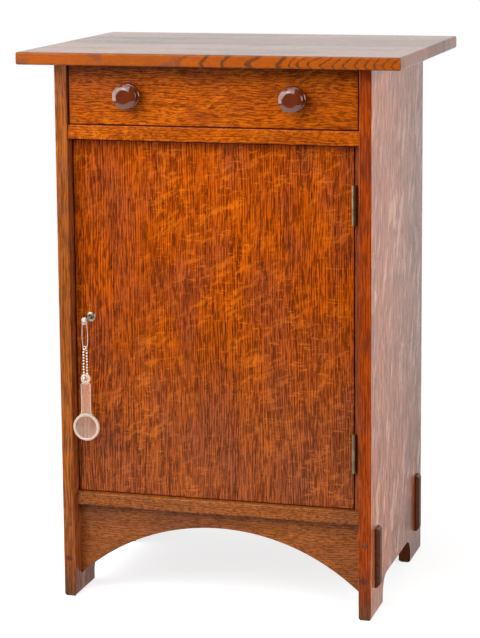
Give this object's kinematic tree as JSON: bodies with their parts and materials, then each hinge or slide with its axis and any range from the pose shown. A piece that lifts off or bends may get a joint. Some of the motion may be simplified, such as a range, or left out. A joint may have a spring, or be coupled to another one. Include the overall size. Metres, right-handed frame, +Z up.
{
  "type": "smokers cabinet",
  "caption": "Low oak cabinet on arched feet with a drawer over a locking door; a magnifier on a ball chain hangs from the key.",
  "frame": {"origin": "on the floor under the middle of the top board", "axes": "+X to the right seen from the front, +Y to the back, +Z up"},
  "size_m": [0.508, 0.381, 0.7366],
  "materials": {
    "oak": "varnished, quarter-sawn",
    "knob_wood": "turned and varnished",
    "peg_wood": "dark end grain",
    "aged_brass": "darkened by age",
    "steel": "plain",
    "bright_metal": "plated",
    "clear_plastic": "clear, moulded"
  },
  "bodies": {
    "case": {"back_board_1": "oak", "back_board_2": "oak", "back_board_3": "oak", "bottom_board": "oak", "case_hinge_screws": "steel", "cleat_screws": "steel", "door_stop": "oak", "drawer_rail": "oak", "front_apron": "oak", "hinge_strip": "oak", "left_drawer_runner": "oak", "left_shelf_cleat": "oak", "left_side": "oak", "left_top_cleat": "oak", "lower_case_hinge_leaf": "aged_brass", "lower_hinge_pin": "aged_brass", "rear_apron": "oak", "right_drawer_runner": "oak", "right_shelf_cleat": "oak", "right_side": "oak", "right_top_cleat": "oak", "shelf": "oak", "strike_plate": "aged_brass", "tenon_pegs": "peg_wood", "top_board": "oak", "upper_case_hinge_leaf": "aged_brass", "upper_hinge_pin": "aged_brass"},
    "drawer": {"drawer_front": "oak", "drawer_left_side": "oak", "drawer_right_side": "oak", "drawer_back": "oak", "drawer_bottom": "oak", "left_knob": "knob_wood", "right_knob": "knob_wood", "knob_screws": "steel"},
    "door": {"door_panel": "oak", "upper_door_hinge_leaf": "aged_brass", "lower_door_hinge_leaf": "aged_brass", "door_hinge_screws": "steel", "lock_case": "steel", "lock_cover": "steel", "lock_screws": "steel", "keyhole_ring": "aged_brass"},
    "bolt": {"lock_bolt": "steel"},
    "key": {"key": "steel"},
    "safety_pin": {"safety_pin": "bright_metal"},
    "ball_chain": {"ball_chain": "bright_metal"},
    "magnifier": {"magnifier": "clear_plastic"}
  },
  "joints": [
    {"name": "drawer_slide", "type": "slide", "parent": "case", "child": "drawer", "axis": [0, -1, 0], "range_m": [0, 0.22]},
    {"name": "door_swing", "type": "hinge", "parent": "case", "child": "door", "pos_m": [0.18585, -0.1499, 0.382], "axis": [0, 0, 1], "range_deg": [0, 110]},
    {"name": "key_turn", "type": "hinge", "parent": "door", "child": "key", "pos_m": [-0.1735, -0.1465, 0.383], "axis": [0, -1, 0], "range_deg": [0, 90]},
    {"name": "bolt_throw", "type": "slide", "parent": "door", "child": "bolt", "axis": [-1, 0, 0], "range_m": [0, 0.0075]},
    {"name": "pin_swing", "type": "hinge", "parent": "door", "child": "safety_pin", "pos_m": [-0.1735, -0.17005, 0.383], "axis": [0, 1, 0], "range_deg": [-45, 45]},
    {"name": "chain_swing", "type": "hinge", "parent": "safety_pin", "child": "ball_chain", "pos_m": [-0.1735, -0.17005, 0.345], "axis": [0, 1, 0], "range_deg": [-30, 30]},
    {"name": "magnifier_swing", "type": "hinge", "parent": "ball_chain", "child": "magnifier", "pos_m": [-0.1735, -0.17005, 0.304], "axis": [0, 1, 0], "range_deg": [-30, 30]}
  ],
  "couplings": [
    {"joint": "key_turn", "follows": "bolt_throw", "rad_per_m": 209.44}
  ]
}
